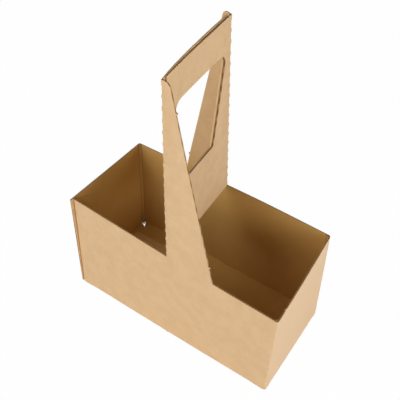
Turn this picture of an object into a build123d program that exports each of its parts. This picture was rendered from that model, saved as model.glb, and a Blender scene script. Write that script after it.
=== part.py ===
from build123d import *
import os

# The set-up carrier: X along its length, Y from front to back, Z up from what it stands on
carrier_length = 200.0
carrier_depth = 94.0
wall_height = 105.5
handle_rise = 158.5

# The board, a fine-fluted kraft sheet, and the creases it is folded on
board = 1.0
fold_radius = 0.8
crease_bead_radius = 1.3
foot_rounding = 0.7

# The glued corner: a bevelled flap of the front wall inside the end wall, whose cut edge stands proud
glue_flap_width = 26.0
glue_flap_bevel = 14.0
glue_flap_lift = 3.0
overhang_top = 2.6
overhang_foot = 0.4

# Each half of the handle: a strut that goes on up from the wall, folded into a panel across the carrier
fold_offset = 0.8
ply_gap = 0.4
ply_stop = 3.0
strut_foot_width = 43.2
strut_head_width = 6.0
shoulder_radius = 6.0

# The row of slits, cut in from the outer corner of each handle fold, that lets it turn sharply
slit_fold_radius = 0.2
slit_length = 5.5
slit_pitch = 9.0
slit_depth = 1.0

# The hand hole, cut through both handle panels
grip_height = 25.2
hole_height = 71.4
hole_top_width = 75.5
hole_bottom_width = 37.5
hole_top_radius = 6.0
hole_bottom_radius = 3.0

# The interlocking floor: long flaps from the front and back walls, end flaps with creased glue tabs
deep_flap_stop = 16.0
deep_flap_end_gap = 4.7
deep_flap_chamfer = 2.0
lock_overlap = 2.0
lock_slope = 14.0
lock_gap = 2.0
lock_lap = 8.0
end_flap_stop = 2.0
tab_gap = 1.5
flap_slit = 0.6
corner_hole_radius = 2.4
crease_width = 1.0
crease_depth = 0.3
tab_corner_shares = [(0.16, 0.86), (0.84, 0.97)]

# How far a cutting shape runs past what it cuts
overrun = 5.0

outer_x = carrier_length / 2
outer_y = carrier_depth / 2
inner_x = outer_x - board
inner_y = outer_y - board
handle_top = wall_height + handle_rise
outer_fold_radius = fold_radius + board
panel_reach = inner_y - ply_stop
floor_top = 2 * board


def half_turn(shape):
    """The same shape on the other side of the carrier, turned about the upright axis."""
    return Rot(0, 0, 180) * shape


def bent_board(outside_points, inside_radius, height):
    """A strip of board on edge, folded along its outside line, with the inside on the left."""
    line = FilletPolyline(*outside_points, radius=inside_radius + board)
    return extrude(make_face(offset(line, board, side=Side.LEFT)), height)


def plate(points, height):
    return extrude(make_face(Polyline(*points, close=True)), height)


def glue_flap_and_front():
    """The front wall up to its middle, with the fold and the glue flap at its left end."""
    flap_x = board - outer_x
    flap_end = glue_flap_width - inner_y
    turn = [(flap_x, flap_end), (flap_x, -outer_y), (0, -outer_y)]
    strip = bent_board(turn, fold_radius, wall_height)
    bevel = Plane.YZ * Polyline((-inner_y, 0), (flap_end, glue_flap_bevel), (flap_end, -overrun),
                                (-inner_y, -overrun), close=True)
    bevel = Pos(flap_x - overrun, 0, 0) * extrude(make_face(bevel), 2 * overrun)
    foot_bevel = Pos(0, 0, glue_flap_lift) * bevel
    top_bevel = Pos(0, 0, wall_height) * mirror(bevel, Plane.XY)
    return strip - foot_bevel - top_bevel


def right_back_and_left():
    """The rest of the wall strip, from the middle of the front round to the glued corner."""
    turns = [(0, -outer_y), (outer_x, -outer_y), (outer_x, outer_y), (-outer_x, outer_y),
             (-outer_x, -outer_y)]
    return bent_board(turns, fold_radius, wall_height)


def tray_outside():
    """The tray's outer form, rounded at the folded corners and where the walls turn under."""
    block = extrude(Rectangle(carrier_length, carrier_depth), wall_height)
    uprights = block.edges().filter_by(Axis.Z)
    folded = [edge for edge in uprights if edge.center().X > 0 or edge.center().Y > 0]
    block = fillet(folded, outer_fold_radius)
    return fillet(block.edges().group_by(Axis.Z)[0], foot_rounding)


def proud_edge():
    """The cut edge of the left end wall, which leans out past the front wall at the glued corner."""
    outline = Plane.YZ * Polyline((-outer_y, 0), (-outer_y, wall_height),
                                  (-outer_y - overhang_top, wall_height),
                                  (-outer_y - overhang_foot, 0), close=True)
    return Pos(-outer_x, 0, 0) * extrude(make_face(outline), board)


def crease_beads():
    """The upright ridge that creasing raises inside each folded corner."""
    corners = [(inner_x, -inner_y), (inner_x, inner_y), (-inner_x, inner_y)]
    inside = extrude(Rectangle(2 * inner_x, 2 * inner_y), wall_height)
    return [inside & Pos(x, y) * extrude(Circle(crease_bead_radius), wall_height) for x, y in corners]


def handle_half():
    """Front strut, its perforated fold and the panel that it carries to the back."""
    far_x = -(fold_offset + 2 * board + ply_gap)
    reach_share = (panel_reach + outer_y) / carrier_depth
    panel_end = (fold_offset + (far_x - fold_offset) * reach_share, panel_reach)
    foot_x = fold_offset + strut_foot_width
    head_x = fold_offset + strut_head_width
    turn = [panel_end, (fold_offset, -outer_y), (foot_x, -outer_y)]
    strip = bent_board(turn, slit_fold_radius, handle_rise)
    side = far_x - overrun
    outline = make_face(Polyline((side, 0), (foot_x, 0), (head_x, handle_rise), (side, handle_rise),
                                 close=True))
    shoulder = outline.vertices().sort_by(Axis.Y)[-2:].sort_by(Axis.X)[-1]
    outline = Plane.XZ * fillet(shoulder, shoulder_radius)
    half = strip & extrude(outline, carrier_depth, both=True)
    slit = Rot(0, 0, 45) * Box(2 * slit_depth, 2 * slit_depth, slit_length)
    count = int(handle_rise / slit_pitch)
    first = (handle_rise - (count - 1) * slit_pitch) / 2
    for step in range(count):
        half -= Pos(fold_offset, -outer_y, first + step * slit_pitch) * slit
    return Pos(0, 0, wall_height) * half


def hand_hole():
    """The cutting shape of the tapered hole, which goes through both handle panels."""
    top = handle_top - grip_height
    bottom = top - hole_height
    outline = make_face(Polyline((-hole_bottom_width / 2, bottom), (hole_bottom_width / 2, bottom),
                                 (hole_top_width / 2, top), (-hole_top_width / 2, top), close=True))
    corners = outline.vertices().sort_by(Axis.Y)
    outline = fillet(corners[:2], hole_bottom_radius)
    outline = fillet(outline.vertices().sort_by(Axis.Y)[-2:], hole_top_radius)
    return extrude(Plane.YZ * outline, outer_x, both=True)


def floor_half():
    """One long flap, deep over the left half and short over the right, and the right end flap under it."""
    deep_end = deep_flap_end_gap - inner_x
    deep_edge = inner_y - deep_flap_stop
    deep = plate([(deep_end, -inner_y), (deep_end, deep_edge - deep_flap_chamfer),
                  (deep_end + deep_flap_chamfer, deep_edge), (-lock_gap / 2 - lock_slope, deep_edge),
                  (-lock_gap / 2, 0), (-lock_gap / 2, -inner_y)], board)
    short_edge = lock_overlap / 2
    corner_line = inner_x - inner_y
    short_line = corner_line - flap_slit
    short = plate([(-lock_lap, -inner_y), (-lock_lap, short_edge), (short_line - short_edge, short_edge),
                   (short_line + inner_y, -inner_y)], board)
    reach = inner_y - end_flap_stop
    end_x = inner_x - reach
    tab_edge = inner_y - tab_gap
    tab = [(end_x + reach * x_share, tab_edge * y_share) for x_share, y_share in tab_corner_shares]
    end = plate([(inner_x, -inner_y), (end_x, corner_line - end_x), (end_x, end_flap_stop), *tab,
                 (inner_x, inner_y)], board)
    crease_length = reach * 2 ** 0.5
    crease = Rot(0, 0, 45) * Box(crease_length, crease_width, 2 * crease_depth)
    end -= Pos(inner_x - reach / 2, inner_y - reach / 2) * crease
    hole = Cylinder(corner_hole_radius, 2 * floor_top)
    hole = Pos(inner_x - corner_hole_radius, corner_hole_radius - inner_y) * hole
    return [Pos(0, 0, board) * deep, short - hole, end - hole]


walls = tray_outside() & (glue_flap_and_front() + right_back_and_left() + crease_beads())
half = handle_half() - hand_hole()
flaps = floor_half()
turned_flaps = [half_turn(flap) for flap in flaps]
carrier = walls + [proud_edge(), half, half_turn(half), *flaps, *turned_flaps]

os.makedirs("parts", exist_ok=True)
export_step(carrier, "parts/carrier_board.step")
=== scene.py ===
import math
import bmesh
import bpy
from mathutils import Matrix, Vector, noise


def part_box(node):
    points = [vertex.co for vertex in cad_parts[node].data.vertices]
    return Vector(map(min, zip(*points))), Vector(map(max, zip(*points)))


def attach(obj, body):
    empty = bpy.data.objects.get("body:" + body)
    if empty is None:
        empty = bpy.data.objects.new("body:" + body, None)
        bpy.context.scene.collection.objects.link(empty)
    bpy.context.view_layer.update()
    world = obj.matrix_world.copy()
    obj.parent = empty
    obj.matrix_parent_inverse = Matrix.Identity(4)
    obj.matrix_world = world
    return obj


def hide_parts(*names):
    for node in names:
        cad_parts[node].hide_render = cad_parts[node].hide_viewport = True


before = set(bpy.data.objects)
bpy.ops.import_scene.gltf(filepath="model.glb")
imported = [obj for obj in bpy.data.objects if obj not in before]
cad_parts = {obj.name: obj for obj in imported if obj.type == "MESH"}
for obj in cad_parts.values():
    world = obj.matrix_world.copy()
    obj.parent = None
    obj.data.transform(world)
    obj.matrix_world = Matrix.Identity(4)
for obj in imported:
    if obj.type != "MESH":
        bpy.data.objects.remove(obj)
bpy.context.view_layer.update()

# Walls
# The four walls are one run of fine-fluted brown kraft board, creased and folded at the corners.
# Each panel is laid out at the middle of the board's thickness, and keeps its place on the blank as UV.
mm = 0.001
_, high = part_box("carrier_board")
board = 1.0 * mm
glue_line = 0.1 * mm
wall_height = 105.5 * mm
floor_level = board / 2
wall_x = high.x - board / 2
wall_y = high.y - board / 2
glue_fold_x = -wall_x + board + glue_line
overhang_top = 2.6 * mm
overhang_foot = 0.4 * mm
strut_foot_x = 44.2 * mm
strut_root_x = 45.8 * mm
strut_columns = 5
column_step = strut_root_x / strut_columns
wall_row_step = 10.5 * mm
handle_fold_x = 1.3 * mm
fold_round = 0.6 * mm
hinge_stop = 2.7 * mm
hinge_end_x = wall_x - hinge_stop
hinge_end_y = wall_y - hinge_stop
deep_end_gap = 5.2 * mm
deep_end_x = wall_x - deep_end_gap
glue_flap_lift = 3.0 * mm
glue_flap_foot = floor_level + glue_flap_lift
nick_half = 0.5 * mm
nick_root = 0.95 * mm
rim_nick_y = -34.2 * mm
ALONG_X = Vector((1, 0, 0))
ALONG_Y = Vector((0, 1, 0))
UP = Vector((0, 0, 1))


def flat_panel(name, corner, across, up):
    """A rectangle of board with one corner and two sides given."""
    corner, across, up = Vector(corner), Vector(across), Vector(up)
    bpy.ops.object.select_all(action="DESELECT")
    bpy.ops.mesh.primitive_plane_add(size=1)
    panel = bpy.context.object
    panel.name = name
    turn = Matrix((across, up, across.cross(up).normalized())).transposed().to_4x4()
    panel.matrix_world = Matrix.Translation(corner + (across + up) / 2) @ turn
    bpy.ops.object.transform_apply(location=True, rotation=True, scale=True)
    panel.data.uv_layers[0].name = "blank"
    return panel


def select_only(*panels):
    """Selects these panels and nothing else, with the first of them active."""
    bpy.ops.object.select_all(action="DESELECT")
    for panel in panels:
        panel.select_set(True)
    bpy.context.view_layer.objects.active = panels[0]


def edit(panel):
    """Goes into edit mode on one panel."""
    select_only(panel)
    bpy.ops.object.mode_set(mode="EDIT")


def cut_panel(panel, direction, places, trim=False):
    """Cuts a panel right across at each place, and trims off what lies past the cut if asked."""
    edit(panel)
    for place in places:
        bpy.ops.mesh.select_all(action="SELECT")
        bpy.ops.mesh.bisect(plane_co=place, plane_no=direction, clear_outer=trim)
    bpy.ops.object.mode_set(mode="OBJECT")


def divide_panel(panel, axis, distances):
    """Cuts a panel right across at each distance along an axis."""
    cut_panel(panel, axis, [distance * axis for distance in distances])


def trim_panel(panel, direction, place):
    """Cuts a panel right across at one place, and takes off what lies past the cut."""
    cut_panel(panel, direction, [place], trim=True)


def lay_on_blank(panel, corner, across, up, blank_corner, blank_across=(1, 0), blank_up=(0, 1)):
    """Gives each point of a flat panel its place on the unfolded blank, in metres, as UV."""
    corner, across, up = Vector(corner), Vector(across).normalized(), Vector(up).normalized()
    layer = panel.data.uv_layers["blank"].data
    for loop in panel.data.loops:
        offset = panel.data.vertices[loop.vertex_index].co - corner
        layer[loop.index].uv = (Vector(blank_corner) + offset.dot(across) * Vector(blank_across)
                                + offset.dot(up) * Vector(blank_up))


def steps(first, last, step):
    """Evenly spaced places between two ends, at most a step apart."""
    count = math.ceil(abs(last - first) / step)
    return [first + (last - first) * index / count for index in range(1, count)]


def both_sides(*distances):
    """Each distance on both sides of the middle."""
    return [sign * distance for distance in distances for sign in (-1, 1)]


def around_nick(place):
    """The cuts that a small torn nick needs on each side of its middle."""
    return [place + offset for offset in both_sides(nick_half, nick_root)]


long_columns = both_sides(*[index * column_step for index in range(1, int(wall_x / column_step))],
                          handle_fold_x, handle_fold_x + fold_round)
end_columns = (steps(-wall_y, wall_y, column_step) + both_sides(hinge_end_y)
               + around_nick(rim_nick_y) + around_nick(-rim_nick_y))
wall_rows = steps(floor_level, wall_height, wall_row_step) + [floor_level + fold_round, glue_flap_foot]
rise = (wall_height - floor_level) * UP
front_corner = Vector((glue_fold_x, -wall_y, floor_level))
right_corner = Vector((wall_x, -wall_y, floor_level))
back_corner = Vector((wall_x, wall_y, floor_level))
left_corner = Vector((-wall_x, wall_y, floor_level))
left_reach = wall_y + high.y + overhang_top

front = flat_panel("front_wall", front_corner, (wall_x - glue_fold_x) * ALONG_X, rise)
right = flat_panel("right_wall", right_corner, 2 * wall_y * ALONG_Y, rise)
back = flat_panel("back_wall", back_corner, -2 * wall_x * ALONG_X, rise)
left = flat_panel("left_wall", left_corner, -left_reach * ALONG_Y, rise)
lean = Vector((0, floor_level - wall_height, overhang_foot - overhang_top)).normalized()
trim_panel(left, lean, (-wall_x, -high.y - overhang_top, wall_height))
for wall, facing in ((front, 1), (back, -1)):
    divide_panel(wall, ALONG_X, long_columns + [facing * hinge_end_x, -facing * deep_end_x])
for wall in (right, left):
    divide_panel(wall, ALONG_Y, end_columns)
divide_panel(left, ALONG_Y, [-high.y])
for wall in (front, right, back, left):
    divide_panel(wall, UP, wall_rows)
lay_on_blank(front, front_corner, ALONG_X, UP, (glue_fold_x, floor_level))
lay_on_blank(right, right_corner, ALONG_Y, UP, (wall_x, floor_level))
lay_on_blank(back, back_corner, -ALONG_X, UP, (wall_x + 2 * wall_y, floor_level))
lay_on_blank(left, left_corner, -ALONG_Y, UP, (3 * wall_x + 2 * wall_y, floor_level))

# Glue flap
# A bevelled flap of the front wall, folded in at the left corner and glued inside the left end wall.
# The end wall's cut edge runs on past that fold and stands a little proud of the front wall.
flap_width = 26.0 * mm
flap_bevel = 14.0 * mm
glue_flap = flat_panel("glue_flap", front_corner, flap_width * ALONG_Y, rise)
top_bevel = Vector((0, flap_bevel, flap_width)).normalized()
foot_bevel = Vector((0, flap_bevel, -flap_width)).normalized()
trim_panel(glue_flap, top_bevel, (glue_fold_x, -wall_y, wall_height))
trim_panel(glue_flap, foot_bevel, (glue_fold_x, -wall_y, glue_flap_foot))
divide_panel(glue_flap, ALONG_Y, end_columns)
divide_panel(glue_flap, UP, wall_rows)
lay_on_blank(glue_flap, front_corner, ALONG_Y, UP, (glue_fold_x, floor_level), blank_across=(-1, 0))

# Floor flaps
# The floor is four flaps of the same board, interlocked in the middle: a long flap from the front and
# one from the back, each deep over one half and short over the other, and an end flap glued under each.
deep_stop = 16.0 * mm
deep_chamfer = 2.0 * mm
lock_gap = 2.0 * mm
lock_slope = 14.0 * mm
lock_settle = 9.0 * mm
short_reach = 1.0 * mm
flap_slit = 0.03 * mm
corner_hole = 6.4 * mm
end_reach = 44.0 * mm
tab_inset = 7.0 * mm
tab_gap = 7.0 * mm
tab_slope = 28.0 * mm
step_up = 2.6 * mm
touch = 0.02 * mm
half_blank = 2 * (wall_x + wall_y)
DIAGONAL = Vector((1, 1, 0)).normalized()


def joined(panels):
    """Panels of one sheet made into one mesh, merged along the edges that they share."""
    select_only(*panels)
    bpy.ops.object.join()
    edit(panels[0])
    bpy.ops.mesh.select_all(action="SELECT")
    bpy.ops.mesh.remove_doubles(threshold=touch)
    bpy.ops.object.mode_set(mode="OBJECT")
    return panels[0]


def turned_round(panel):
    """Takes a panel to the other side of the carrier, and to its own place on the blank."""
    panel.data.transform(Matrix.Rotation(math.pi, 4, "Z"))
    for corner in panel.data.uv_layers["blank"].data:
        corner.uv.x += half_blank
    return panel


def turned_copy(panel):
    """A copy with its own mesh on the other side of the carrier."""
    select_only(panel)
    bpy.ops.object.duplicate()
    return turned_round(bpy.context.object)


def soft_step(value, start, end):
    """0 before start and 1 past end, with a soft step between them."""
    share = min(max((value - start) / (end - start), 0), 1)
    return share * share * (3 - 2 * share)


deep_edge = wall_y - board / 2 - deep_stop
lock_x = -lock_gap / 2
hinge = Vector((0, -wall_y, floor_level))
flap_rows = end_columns + [0, -wall_y + fold_round, -wall_y + step_up]
hole_side = Vector((corner_hole, corner_hole - hinge_stop, 0)).normalized()
deep = flat_panel("deep_flap", hinge - deep_end_x * ALONG_X, (deep_end_x + lock_x) * ALONG_X,
                  (deep_edge + wall_y) * ALONG_Y)
trim_panel(deep, (-1, 1, 0), (deep_chamfer - deep_end_x, deep_edge, 0))
trim_panel(deep, Vector((deep_edge, lock_slope, 0)).normalized(), (lock_x, 0, 0))
short = flat_panel("short_flap", hinge + lock_x * ALONG_X, (hinge_end_x - lock_x) * ALONG_X,
                   (short_reach + wall_y) * ALONG_Y)
trim_panel(short, DIAGONAL, (wall_x - flap_slit, -wall_y, 0))
trim_panel(short, hole_side, (hinge_end_x, -wall_y, 0))
for flap in (deep, short):
    divide_panel(flap, ALONG_X, long_columns)
    divide_panel(flap, ALONG_Y, flap_rows)
    lay_on_blank(flap, hinge, ALONG_X, ALONG_Y, (0, floor_level), blank_up=(0, -1))
long_flap = joined([deep, short])
for vertex in long_flap.data.vertices:
    risen = min(max((vertex.co.y + wall_y) / step_up, 0), 1)
    vertex.co.z += risen * board * (1 - soft_step(vertex.co.x, lock_x, lock_x + lock_settle))

end_hinge = Vector((wall_x, 0, floor_level))
end_flap = flat_panel("end_flap", end_hinge - hinge_end_y * ALONG_Y, 2 * hinge_end_y * ALONG_Y,
                      -end_reach * ALONG_X)
trim_panel(end_flap, -DIAGONAL, (wall_x, -wall_y, 0))
trim_panel(end_flap, (-hole_side.y, -hole_side.x, 0), (wall_x, -hinge_end_y, 0))
trim_panel(end_flap, Vector((-end_reach, tab_slope, 0)).normalized(),
           (wall_x - end_reach + tab_inset, wall_y - tab_gap, 0))
divide_panel(end_flap, ALONG_X, long_columns + [wall_x - fold_round])
divide_panel(end_flap, ALONG_Y, end_columns)
lay_on_blank(end_flap, end_hinge, ALONG_Y, -ALONG_X, (wall_x + wall_y, floor_level), blank_up=(0, -1))
floor_flaps = [long_flap, turned_copy(long_flap), end_flap, turned_copy(end_flap)]

# Handle
# Each long wall carries a slanted strut that goes on up from it and folds, on a line of cut slits, into a
# panel across the carrier. The two panels lie back to back with one tapered hand hole cut through both.
handle_top = high.z
ply_gap = 0.4 * mm
ply_stop = 3.0 * mm
strut_head_x = 7.0 * mm
shoulder_radius = 6.0 * mm
fillet_shares = (0.08, 0.25, 0.5, 0.75)
hole_height = 72.0 * mm
hole_top_width = 75.0 * mm
hole_bottom_width = 37.0 * mm
hole_top_radius = 13.0 * mm
hole_bottom_radius = 3.0 * mm
far_hole = (1.3 * mm, 238.2 * mm)
near_hole = (-2.9 * mm, 238.4 * mm)
slit_pitch = 9.0 * mm
slit_length = 5.5 * mm
slit_end = 0.7 * mm
strut_nicks = [121.6 * mm, 244.3 * mm]
hole_nick = 199.4 * mm
top_nick = -5.4 * mm
torn_reach = 1.1 * mm
worn_reach = 0.35 * mm
nick_grip = 0.6 * mm
round_steps = 7
close_by = 0.1 * mm
out_of_line = 0.01 * mm
sliver = 0.12 * mm


def pick(panel, kind, wanted):
    """Goes into edit mode with only the vertices, edges or faces selected that pass a test."""
    edit(panel)
    bpy.ops.mesh.select_mode(type={"verts": "VERT", "edges": "EDGE", "faces": "FACE"}[kind])
    bpy.ops.mesh.select_all(action="DESELECT")
    shape = bmesh.from_edit_mesh(panel.data)
    for part in getattr(shape, kind):
        part.select_set(bool(wanted(part)))
    shape.select_flush_mode()
    bmesh.update_edit_mesh(panel.data)


def close_slivers(panel):
    """Merges the points of a cut panel that all but touch."""
    pick(panel, "verts", lambda vertex: True)
    bpy.ops.mesh.remove_doubles(threshold=sliver)
    bpy.ops.object.mode_set(mode="OBJECT")


def round_corner(panel, place, radius, inside_angle):
    """Rounds a panel's outline at one corner."""
    pick(panel, "verts", lambda vertex: (vertex.co - place).length < close_by)
    bpy.ops.mesh.bevel(offset=radius * math.cos(inside_angle / 2), segments=round_steps, affect="VERTICES")
    bpy.ops.object.mode_set(mode="OBJECT")


def raise_nick(panel, place, stub):
    """Leaves the stub of a torn nick standing on a cut edge."""
    pick(panel, "verts", lambda vertex: vertex.is_boundary and (vertex.co - place).length < nick_grip)
    bpy.ops.transform.translate(value=stub)
    bpy.ops.object.mode_set(mode="OBJECT")


slit_count = int((handle_top - wall_height) / slit_pitch)
first_slit = (wall_height + handle_top - (slit_count - 1) * slit_pitch) / 2
slits = [first_slit + index * slit_pitch for index in range(slit_count)]
handle_rows = []
for slit in slits:
    handle_rows += [slit + end for end in both_sides(slit_length / 2, slit_length / 2 + slit_end)]
for nick in strut_nicks + [hole_nick]:
    handle_rows += around_nick(nick)

handle_rise = (handle_top - wall_height) * UP
fold_foot = Vector((handle_fold_x, -wall_y, wall_height))
strut_lean = math.atan((strut_foot_x - strut_head_x) / handle_rise.z)
foot_fillet = (strut_root_x - strut_foot_x) * math.tan(math.pi / 4 + strut_lean / 2)
fillet_rows = [wall_height + share * foot_fillet for share in fillet_shares]
far_side = Vector((-handle_fold_x - board - ply_gap, wall_y, wall_height))
side = (far_side - fold_foot).normalized()
panel_reach = (2 * wall_y - board / 2 - ply_stop) / side.y
hole_taper = (hole_top_width - hole_bottom_width) / 2
hole_lean = math.atan(hole_taper / hole_height)


def slant_x(z):
    """Where the slanted edge of the strut is at a height."""
    return strut_foot_x - (z - wall_height) * math.tan(strut_lean)


def cut_strut():
    """The strut above the front wall, slanted on one side, with a rounded shoulder and a filleted foot."""
    strut = flat_panel("strut", fold_foot, (strut_foot_x - handle_fold_x) * ALONG_X, handle_rise)
    slant = Vector((math.cos(strut_lean), 0, math.sin(strut_lean)))
    shoulder = Vector((strut_head_x, -wall_y, handle_top))
    trim_panel(strut, slant, (strut_foot_x, -wall_y, wall_height))
    round_corner(strut, shoulder, shoulder_radius, math.pi / 2 + strut_lean)
    divide_panel(strut, ALONG_X, long_columns)
    divide_panel(strut, UP, handle_rows + fillet_rows)
    close_slivers(strut)
    for nick in strut_nicks:
        raise_nick(strut, Vector((slant_x(nick), -wall_y, nick)), torn_reach * slant)
    for vertex in strut.data.vertices:
        below_centre = foot_fillet - max(vertex.co.z - wall_height, 0)
        if below_centre > 0 and vertex.co.x > slant_x(vertex.co.z) - touch:
            vertex.co.x = strut_root_x - math.sqrt(foot_fillet ** 2 - below_centre ** 2)
    lay_on_blank(strut, fold_foot, ALONG_X, UP, (handle_fold_x, wall_height))
    return strut


def on_panel(y, z):
    """The point of the handle panel that is so far across the carrier and so high."""
    return fold_foot + (y - fold_foot.y) / side.y * side + (z - fold_foot.z) * UP


def is_slanted(edge):
    """Whether an edge inside the panel runs neither up nor straight across, as those of a fill do."""
    along = edge.verts[1].co - edge.verts[0].co
    return not edge.is_boundary and min(abs(along.z), abs(along.dot(side))) > out_of_line


def cut_handle_panel(hole_middle, hole_top):
    """The panel that the front strut carries across, with its hand hole so far back and so high."""
    hole_bottom = hole_top - hole_height
    panel = flat_panel("handle_panel", fold_foot, panel_reach * side, handle_rise)
    hole = flat_panel("hand_hole", on_panel(hole_middle - hole_top_width / 2, hole_bottom),
                      hole_top_width / side.y * side, hole_height * UP)
    for sign in (-1, 1):
        top_corner = on_panel(hole_middle + sign * hole_top_width / 2, hole_top)
        bottom_corner = on_panel(hole_middle + sign * hole_bottom_width / 2, hole_bottom)
        trim_panel(hole, Vector((0, sign * hole_height, -hole_taper)).normalized(), bottom_corner)
        round_corner(hole, top_corner, hole_top_radius, math.pi / 2 - hole_lean)
        round_corner(hole, bottom_corner, hole_bottom_radius, math.pi / 2 + hole_lean)
    panel = joined([panel, hole])
    pick(panel, "faces", lambda face: True)
    bpy.ops.mesh.delete(type="ONLY_FACE")
    bpy.ops.mesh.select_all(action="SELECT")
    bpy.ops.mesh.fill(use_beauty=False)
    bpy.ops.object.mode_set(mode="OBJECT")
    columns = steps(-wall_y, wall_y, column_step) + around_nick(top_nick) + [-wall_y + fold_round * side.y]
    cut_panel(panel, side, [on_panel(y, 0) for y in columns])
    divide_panel(panel, UP, handle_rows)
    pick(panel, "edges", is_slanted)
    bpy.ops.mesh.dissolve_edges(use_verts=False)
    bpy.ops.object.mode_set(mode="OBJECT")
    pick(panel, "verts", lambda vertex: not vertex.is_boundary and len(vertex.link_edges) == 2)
    bpy.ops.mesh.dissolve_verts()
    bpy.ops.object.mode_set(mode="OBJECT")
    close_slivers(panel)
    nick_edge = hole_bottom_width / 2 + hole_taper * (hole_nick - hole_bottom) / hole_height
    for sign in (-1, 1):
        raise_nick(panel, on_panel(hole_middle + sign * nick_edge, hole_nick),
                   worn_reach * Vector((0, -sign * hole_height, hole_taper)).normalized())
    raise_nick(panel, on_panel(top_nick, handle_top), worn_reach * UP)
    lay_on_blank(panel, fold_foot, side, UP, (handle_fold_x, wall_height), blank_across=(-1, 0))
    return panel


front_half = joined([cut_strut(), cut_handle_panel(*far_hole)])
back_half = turned_round(joined([cut_strut(), cut_handle_panel(*near_hole)]))

# Set-up sheet
# All of these panels are one die-cut sheet. Its folds are rounded and its creases beaded, and the carrier
# has settled out of square as real ones do, with the left end leaning back and the handle twisted.
fold_reach = 2.3 * mm
fold_steps = 4
fold_sharpness = 0.7
crease_bulge = 0.45 * mm
corner_web = 3.4 * mm
web_height = 5.0 * mm
web_flare = 1.2
turn_in = 0.18 * mm
slit_depth = 0.3 * mm
fold_slack = 0.2 * mm
pinch = 0.12 * mm
flap_crush = 0.6 * mm
smooth_angle = math.radians(30)
raise_nick(right, Vector((wall_x, rim_nick_y, wall_height)), torn_reach * UP)
raise_nick(left, Vector((-wall_x, -rim_nick_y, wall_height)), worn_reach * UP)
sheet = joined([front, right, back, left, glue_flap, *floor_flaps, front_half, back_half])
sheet.name = "carrier_sheet"
pick(sheet, "faces", lambda face: True)
bpy.ops.mesh.normals_make_consistent(inside=False)
bpy.ops.object.mode_set(mode="OBJECT")
upright_folds = [(wall_x, -wall_y, 1, -1), (wall_x, wall_y, 1, 1), (-wall_x, wall_y, -1, 1),
                 (glue_fold_x, -wall_y, -1, -1)]


def on_upright_fold(edge):
    """Whether an edge is part of a folded corner between two walls."""
    return any(all(math.hypot(vertex.co.x - x, vertex.co.y - y) < touch for vertex in edge.verts)
               for x, y, _, _ in upright_folds)


pick(sheet, "edges", lambda edge: len(edge.link_faces) == 2 and on_upright_fold(edge))
bpy.ops.mesh.bevel(offset=fold_reach, segments=fold_steps, profile=fold_sharpness, affect="EDGES")
bpy.ops.object.mode_set(mode="OBJECT")

for direction, distance in ((ALONG_X, wall_x), (-ALONG_X, wall_x), (ALONG_Y, wall_y), (-ALONG_Y, wall_y)):
    pick(sheet, "verts", lambda vertex: not vertex.is_boundary and abs(vertex.co.z - floor_level) < touch
         and abs(vertex.co.dot(direction) - distance) < touch)
    bpy.ops.transform.translate(value=turn_in * (UP - direction))
    bpy.ops.object.mode_set(mode="OBJECT")

finishes = ("kraft_liner", "kraft_inside", "cut_edge")
outer_finish, inner_finish, edge_finish = range(len(finishes))
for name in finishes:
    sheet.data.materials.append(bpy.data.materials.new(name))
outer_points = len(sheet.data.vertices)
thickness = sheet.modifiers.new("board", "SOLIDIFY")
thickness.thickness = board
thickness.offset = 0
thickness.use_even_offset = True
thickness.material_offset = inner_finish
thickness.material_offset_rim = edge_finish
bpy.ops.object.modifier_apply(modifier=thickness.name)


def on_far_panel(place):
    """Whether a point between the handle folds is on the far panel's side of the gap between the two."""
    return abs(place.y) < wall_y - board and place.x < on_panel(place.y, place.z).x + (board + ply_gap) / 2


# The glue flap's edge is crushed in. Its cut edge and the far panel's cut edges get the paler inner liner
# instead of the cut edge finish, as painted light on those edges.
# The proud strip of the left end wall shows its outer liner on both sides.
flap_start = fold_reach + board - wall_y
flap_end = flap_width + board - wall_y
flap_edge = set()
for face in sheet.data.polygons:
    middle = face.center
    on_glue_flap = abs(middle.x - glue_fold_x) < close_by and flap_start < middle.y < flap_end
    if face.material_index == edge_finish and on_glue_flap:
        face.material_index = inner_finish
        flap_edge.update(index for index in face.vertices if sheet.data.vertices[index].co.x > glue_fold_x)
    elif face.material_index == edge_finish and middle.z > wall_height + board and on_far_panel(middle):
        face.material_index = inner_finish
    elif face.material_index == inner_finish and middle.x < glue_fold_x and middle.y < -high.y:
        face.material_index = outer_finish
for index in flap_edge:
    sheet.data.vertices[index].co.x -= flap_crush

rim_directions = {}
for face in sheet.data.polygons:
    if face.material_index == edge_finish:
        for index in face.vertices:
            rim_directions[index] = rim_directions.get(index, Vector((0, 0, 0))) + face.normal
for index, direction in rim_directions.items():
    if index < outer_points:
        sheet.data.vertices[index].co -= pinch * direction.normalized()

for sign in (-1, 1):
    fold_corner = Vector((-sign * (handle_fold_x - board / 2), sign * (wall_y + board / 2)))
    pick(sheet, "verts", lambda vertex: (vertex.co.xy - fold_corner).length < fold_slack
         and any(abs(vertex.co.z - slit) < slit_length / 2 + touch for slit in slits))
    bpy.ops.transform.translate(value=-sign * slit_depth * (ALONG_X + ALONG_Y))
    bpy.ops.object.mode_set(mode="OBJECT")

bead = fold_reach - board / 2
for vertex in sheet.data.vertices:
    for x, y, x_side, y_side in upright_folds:
        from_end = x_side * (x - vertex.co.x) - board / 2
        from_long = y_side * (y - vertex.co.y) - board / 2
        if -touch < min(from_end, from_long) and max(from_end, from_long) < bead - touch:
            across_bead = (from_end - from_long) / bead
            ridge = crease_bulge * (1 - across_bead ** 2)
            web = corner_web * max(1 - vertex.co.z / web_height, 0)
            web *= (1 - across_bead ** 6) * (1 + web_flare * across_bead ** 2)
            shift = (bead + ridge + web - from_end - from_long) / 2
            vertex.co.x -= x_side * shift
            vertex.co.y -= y_side * shift

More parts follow.
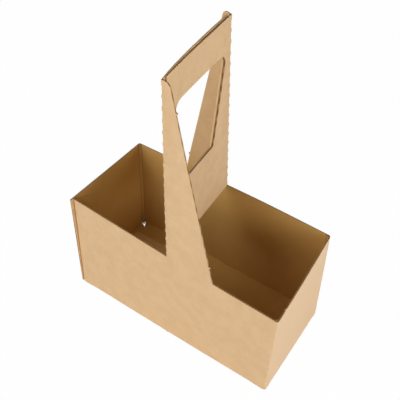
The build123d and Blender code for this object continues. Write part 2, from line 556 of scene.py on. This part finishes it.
# How far the rim's corners and the ends of the handle's top edge have moved along X and Y, in millimetres
rim_shifts = {(-1, -1): (0.2, 6.0), (1, -1): (1.5, -3.1), (1, 1): (-3.9, -2.0), (-1, 1): (1.3, 1.3)}
top_shifts = {-1: (0.1, 1.9), 1: (-3.55, -2.45)}
foot_bow = 0.5 * mm
front_bulge = 0.4 * mm
bulge_skew = 0.36
back_bulge = 0.8 * mm
back_right_bow = 0.4 * mm
left_spread = 0.3 * mm
right_spread = 0.6 * mm
strut_bow = 0.4 * mm
far_ply_bow = 0.8 * mm
far_ply_lift = 1.0 * mm
far_ply_droop = 0.8 * mm
far_lift_span = (-1, -0.75)
near_ply_bow = 0.45 * mm
near_ply_lean = 0.7 * mm
near_ply_lift = 0.4 * mm
near_lift_span = (0.6, -0.4)
back_fold_lift = 0.1 * mm
back_fold_span = (0.4, 1)
back_head_lift = 1.6 * mm
back_head_spread = 0.4 * mm
back_strut_spread = 0.4 * mm
back_strut_span = (0, 0.15)
unevenness = 0.25 * mm
uneven_size = 55 * mm
uneven_from = 20 * mm
uneven_seed = 4
noise.seed_set(uneven_seed)


def settled_place(place):
    """Where a point of the square carrier lies in the real one, which racks, twists and bows a little."""
    across, along = place.x / wall_x, place.y / wall_y
    to_front, to_back = (1 - along) / 2, (1 + along) / 2
    to_right, to_left = max(across, 0), max(-across, 0)
    share = min(place.z / wall_height, 1)
    above = max(place.z - wall_height, 0) / handle_rise.z
    shift = Vector((0, 0, 0))
    for (x_side, y_side), moved in rim_shifts.items():
        shift += (1 + x_side * across) * (1 + y_side * along) / 4 * share * mm * Vector((*moved, 0))
    for y_side, moved in top_shifts.items():
        shift += (1 + y_side * along) / 2 * above * mm * Vector((*moved, 0))
    front_bow = foot_bow + front_bulge * share * (1 + bulge_skew * across)
    back_bow = back_bulge * (1 - across ** 2) + 4 * back_right_bow * to_right * (1 - to_right)
    shift.y -= front_bow * (1 - across ** 2) * to_front
    shift.y += back_bow * share * to_back
    shift.y -= 4 * strut_bow * above * (1 - above) * to_front
    shift.x += right_spread * (1 + share) / 2 * to_back * (1 + 2 * to_front) * to_right ** 3
    shift.x -= left_spread * to_left ** 3
    if on_far_panel(place):
        lift = (far_ply_lift - far_ply_droop * along ** 2) * soft_step(along, *far_lift_span)
        shift.x -= above * far_ply_bow * (1 - along ** 4)
        shift.z += above * lift
    elif abs(place.y) < wall_y - board:
        lift = back_fold_lift * soft_step(along, *back_fold_span)
        lift += near_ply_lift * soft_step(along, *near_lift_span)
        shift.x -= above * (near_ply_lean * to_front + near_ply_bow * (1 - along ** 2))
        shift.z += above * lift
    elif place.y > 0:
        outward = soft_step(-place.x, handle_fold_x, strut_head_x)
        spread = back_strut_spread * soft_step(above, *back_strut_span) * (1 - above)
        spread += back_head_spread * above ** 8
        shift.x -= outward * spread
        shift.z += above * (back_fold_lift + back_head_lift * outward)
    lifted = min(max(place.z, 0) / uneven_from, 1)
    return place + shift + lifted * unevenness * noise.noise_vector(place / uneven_size)


for vertex in sheet.data.vertices:
    vertex.co = settled_place(vertex.co)
select_only(sheet)
bpy.ops.object.shade_smooth_by_angle(angle=smooth_angle)


class Shade:
    """A socket in a node tree: sums on it add Math nodes, and node() adds any other node."""

    def __init__(self, tree, socket=None):
        self.tree = tree
        self.socket = socket

    def node(self, kind, settings=None, sockets=None, output=0):
        """Adds a node, makes its settings, then sets or links its sockets, and gives one output."""
        added = self.tree.nodes.new(kind)
        for name, value in (settings or {}).items():
            setattr(added, name, value)
        for name, value in (sockets or {}).items():
            if isinstance(value, Shade):
                self.tree.links.new(value.socket, added.inputs[name])
            else:
                added.inputs[name].default_value = value
        return Shade(self.tree, added.outputs[output] if added.outputs else None)

    def math(self, operation, first, second=0.0):
        return self.node("ShaderNodeMath", {"operation": operation}, {0: first, 1: second})

    def __add__(self, other):
        return self.math("ADD", self, other)

    def __radd__(self, other):
        return self.math("ADD", other, self)

    def __sub__(self, other):
        return self.math("SUBTRACT", self, other)

    def __rsub__(self, other):
        return self.math("SUBTRACT", other, self)

    def __mul__(self, other):
        return self.math("MULTIPLY", self, other)

    def __rmul__(self, other):
        return self.math("MULTIPLY", other, self)

    def axis(self, name):
        """One axis of a place or of a spot on the blank."""
        return self.node("ShaderNodeSeparateXYZ", sockets={0: self}, output=name)

    def between(self, start, end):
        """0 below start and 1 above end, or the other way round, with a soft step between them."""
        return self.node("ShaderNodeMapRange", {"interpolation_type": "SMOOTHSTEP"},
                         {"Value": self, "From Min": start, "From Max": end})

    def mix(self, first, second):
        """From the first colour to the second as this value goes from 0 to 1."""
        return self.node("ShaderNodeMix", {"data_type": "RGBA"}, {0: self, 6: first, 7: second}, 2)


def empty_tree(owner):
    """The cleared node tree of a material or of the world."""
    owner.use_nodes = True
    owner.node_tree.nodes.clear()
    return Shade(owner.node_tree)


flute_pitch = 2.4 * mm
flute_relief = 0.012 * mm
fibre_relief = 0.01 * mm
grain_relief = 0.005 * mm
fray_relief = 0.08 * mm
cloud_scale = 90
fibre_scale = (420, 2600, 1)
grain_scale = 900
fleck_scale = 210
fray_scale = 1500
cloud_span = (0.3, 0.7)
dark_fibre_span = (0.5, 0.75)
pale_fibre_span = (0.45, 0.25)
fleck_span = (0.1, 0.04)
edge_span = (0.1, 0.9)
dark_fibre_strength = 0.2
pale_fibre_strength = 0.18
fleck_strength = 0.2
flute_strength = 0.35
liner_rough = 0.72
grain_rough = 0.16
edge_rough = 0.85
fray_rough = 0.1
dark_fibre = (0.48, 0.30, 0.14, 1)
pale_fibre = (0.82, 0.62, 0.38, 1)
brown_fleck = (0.34, 0.19, 0.08, 1)
dark_edge = (0.25, 0.125, 0.05, 1)
pale_edge = (0.50, 0.31, 0.145, 1)
crease_lines = [wall_x, wall_x + 2 * wall_y, 3 * wall_x + 2 * wall_y]


def start_finish(name):
    """The tree of one of the sheet's materials, with the place on the sheet and the spot on the blank."""
    finish = empty_tree(bpy.data.materials[name])
    place = finish.node("ShaderNodeTexCoord", output="Object")
    spot = finish.node("ShaderNodeUVMap", {"uv_map": "blank"})
    return finish, place, spot


def flute_wave(spot):
    """The flutes inside the board, as a wave along the blank."""
    return spot.math("SINE", spot.axis("X") * (2 * math.pi / flute_pitch))


def close_finish(finish, colour, roughness, height, sheen):
    """Closes a board material, with its fine heights as relief."""
    relief = finish.node("ShaderNodeBump", sockets={"Height": height, "Strength": 1.0, "Distance": 1.0})
    surface = finish.node("ShaderNodeBsdfPrincipled", sockets={
        "Base Color": colour, "Roughness": roughness, "Normal": relief, "Specular IOR Level": sheen})
    finish.node("ShaderNodeOutputMaterial", sockets={"Surface": surface})


def outside_painted_light(spot, colour):
    """Painted light: the outer liner is painted paler on the right end wall, standing in for the light that
    wall catches.
    """
    right_end_painted_light = (0.78, 0.57, 0.37, 1)
    right_end_light_share = 0.6
    blur = 1.0 * mm
    across = spot.axis("X")
    first, last = crease_lines[:2]
    on_right_end = across.between(first - blur, first + blur) * across.between(last + blur, last - blur)
    # Painted light: the right end wall is painted paler outside.
    return (on_right_end * right_end_light_share).mix(colour, right_end_painted_light)


def inside_painted_shade_and_light(spot, colour):
    """Painted shade and light on the inner liner: painted shade low in the tray and beside the beads, and
    painted light on the front deep flap.
    """
    painted_tray_shade = (0.66, 0.38, 0.07, 1)
    painted_bead_shade = (0.40, 0.22, 0.08, 1)
    painted_flap_light = (0.88, 0.64, 0.32, 1)
    painted_strength = 0.68
    tray_shade_span = (wall_height + 30 * mm, wall_height - 10 * mm)
    bead_shade_strength = 0.7
    bead_shade_start = (1.9 * mm, 2.4 * mm)
    bead_shade_end = (3.3 * mm, 2.6 * mm)
    flap_side = (0, -2 * mm)
    flap_depth = (-20 * mm, -24 * mm)
    across, along = spot.axis("X"), spot.axis("Y")
    # Painted shade: the inner liner is painted darker and browner low in the tray.
    colour = (along.between(*tray_shade_span) * painted_strength).mix(colour, painted_tray_shade)
    # Painted shade: thin darker marks beside the beads at the corner creases.
    from_crease, *others = [spot.math("ABSOLUTE", across - line) for line in crease_lines]
    for other in others:
        from_crease = spot.math("MINIMUM", from_crease, other)
    bead_shade_mask = from_crease.between(*bead_shade_start) * from_crease.between(*bead_shade_end)
    colour = (bead_shade_mask * bead_shade_strength).mix(colour, painted_bead_shade)
    # Painted light: the front deep flap is painted paler than the rest of the tray.
    on_deep_flap = across.between(*flap_side) * along.between(*flap_depth)
    return (on_deep_flap * painted_strength).mix(colour, painted_flap_light)


def finish_liner(name, deep, pale, painted_light_and_shade, sheen):
    """Uncoated kraft: cloudy brown, with short fibres, a few flecks and the flutes showing through, then
    the painted light and shade that it is given.
    """
    finish, place, spot = start_finish(name)
    clouds = finish.node("ShaderNodeTexNoise", sockets={
        "Vector": place, "Scale": cloud_scale, "Detail": 4, "Roughness": 0.6})
    long_fibres = finish.node("ShaderNodeMapping", sockets={"Vector": spot, "Scale": fibre_scale})
    fibres = finish.node("ShaderNodeTexNoise", sockets={"Vector": long_fibres, "Scale": 1, "Detail": 3})
    grain = finish.node("ShaderNodeTexNoise", sockets={"Vector": place, "Scale": grain_scale, "Detail": 2})
    flecks = finish.node("ShaderNodeTexVoronoi", sockets={"Vector": place, "Scale": fleck_scale})
    colour = clouds.between(*cloud_span).mix(deep, pale)
    colour = (fibres.between(*dark_fibre_span) * dark_fibre_strength).mix(colour, dark_fibre)
    colour = (fibres.between(*pale_fibre_span) * pale_fibre_strength).mix(colour, pale_fibre)
    colour = (flecks.between(*fleck_span) * fleck_strength).mix(colour, brown_fleck)
    colour = painted_light_and_shade(spot, colour)
    height = flute_wave(spot) * flute_relief + fibres * fibre_relief + grain * grain_relief
    close_finish(finish, colour, liner_rough + grain_rough * grain, height, sheen)


# Each liner gets painted light and shade from its tones function: paler on the right end wall outside, and
# shade and light in the tray inside.
finish_liner("kraft_liner", deep=(0.675, 0.448, 0.240, 1), pale=(0.725, 0.488, 0.270, 1),
             painted_light_and_shade=outside_painted_light, sheen=0.4)
finish_liner("kraft_inside", deep=(0.648, 0.424, 0.218, 1), pale=(0.698, 0.464, 0.246, 1),
             painted_light_and_shade=inside_painted_shade_and_light, sheen=0.05)

finish, place, spot = start_finish("cut_edge")
frayed = finish.node("ShaderNodeTexNoise", sockets={"Vector": place, "Scale": fray_scale, "Detail": 3})
tone = flute_wave(spot) * flute_strength + frayed
colour = tone.between(*edge_span).mix(dark_edge, pale_edge)
close_finish(finish, colour, edge_rough + fray_rough * frayed, frayed * fray_relief, sheen=0.05)
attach(sheet, "root")
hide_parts("carrier_board")

# Floor and light
# A plain white studio floor that keeps a trace of the carrier's shadow, in a dim white room.
# Six large soft lamps light the carrier: five stand low around it, and one is high in front.
floor_size = 8.0
floor_white = 0.985
paper_white = (0.9, 0.9, 0.9, 1)
pure_white = (1, 1, 1, 1)
room_light = 0.02
lamp_distance = 1.6
lamp_aim = Vector((0, 0, 0.1))


def seen_directly(finish):
    """1 for rays from the camera, also by way of gloss or glass, and 0 for those that only carry light."""
    seen, glossy, through = [finish.node("ShaderNodeLightPath", output=kind) for kind in
                             ("Is Camera Ray", "Is Glossy Ray", "Is Transmission Ray")]
    return finish.math("MAXIMUM", finish.math("MAXIMUM", seen, glossy), through)


bpy.ops.object.select_all(action="DESELECT")
bpy.ops.mesh.primitive_plane_add(size=floor_size)
floor = bpy.context.object
floor.name = "studio_floor"
material = bpy.data.materials.new("studio_white")
finish = empty_tree(material)
paper = finish.node("ShaderNodeBsdfDiffuse", sockets={"Color": paper_white})
white = finish.node("ShaderNodeEmission", sockets={"Color": pure_white, "Strength": 1.0})
shown = seen_directly(finish) * floor_white
surface = finish.node("ShaderNodeMixShader", sockets={0: shown, 1: paper, 2: white})
finish.node("ShaderNodeOutputMaterial", sockets={"Surface": surface})
floor.data.materials.append(material)

world = bpy.data.worlds.new("studio")
finish = empty_tree(world)
dim = finish.node("ShaderNodeBackground", sockets={"Color": pure_white, "Strength": room_light})
white = finish.node("ShaderNodeBackground", sockets={"Color": pure_white, "Strength": 1.0})
surface = finish.node("ShaderNodeMixShader", sockets={0: seen_directly(finish), 1: dim, 2: white})
finish.node("ShaderNodeOutputWorld", sockets={"Surface": surface})
bpy.context.scene.world = world


def soft_lamp(name, azimuth, elevation, size, power):
    """A square soft lamp turned to the middle of the carrier, placed by its direction from there."""
    turned, raised = math.radians(azimuth), math.radians(elevation)
    direction = Vector((math.sin(turned) * math.cos(raised), -math.cos(turned) * math.cos(raised),
                        math.sin(raised)))
    lamp_data = bpy.data.lights.new(name, "AREA")
    lamp_data.shape = "SQUARE"
    lamp_data.size = size
    lamp_data.energy = power
    lamp = bpy.data.objects.new(name, lamp_data)
    bpy.context.scene.collection.objects.link(lamp)
    turn = (-direction).to_track_quat("-Z", "Y").to_matrix().to_4x4()
    lamp.matrix_world = Matrix.Translation(lamp_aim + lamp_distance * direction) @ turn


soft_lamp("left_lamp", azimuth=-30, elevation=8, size=1.0, power=7.7)
soft_lamp("front_lamp", azimuth=10, elevation=6, size=0.9, power=5.7)
soft_lamp("right_lamp", azimuth=70, elevation=12, size=1.0, power=12.3)
soft_lamp("back_lamp", azimuth=120, elevation=8, size=1.0, power=9.5)
soft_lamp("fill_lamp", azimuth=-120, elevation=10, size=1.0, power=4.5)
soft_lamp("high_lamp", azimuth=-28, elevation=50, size=1.0, power=9.0)

# Camera
# Looks down on the carrier from its front right corner, through a normal lens and turned very slightly.
camera_place = Vector((180.796, -272.738, 457.484)) * mm
camera_aim = Vector((1.163, 0, 127.927)) * mm
camera_roll = math.radians(1.13)
camera_data = bpy.data.cameras.new("camera")
camera_data.lens = 53.2314
camera_data.sensor_width = 36
camera = bpy.data.objects.new("camera", camera_data)
bpy.context.scene.collection.objects.link(camera)
turn = (camera_aim - camera_place).to_track_quat("-Z", "Y").to_matrix().to_4x4()
camera.matrix_world = Matrix.Translation(camera_place) @ turn @ Matrix.Rotation(camera_roll, 4, "Z")
bpy.context.scene.camera = camera
bpy.context.scene.view_settings.view_transform = "Standard"
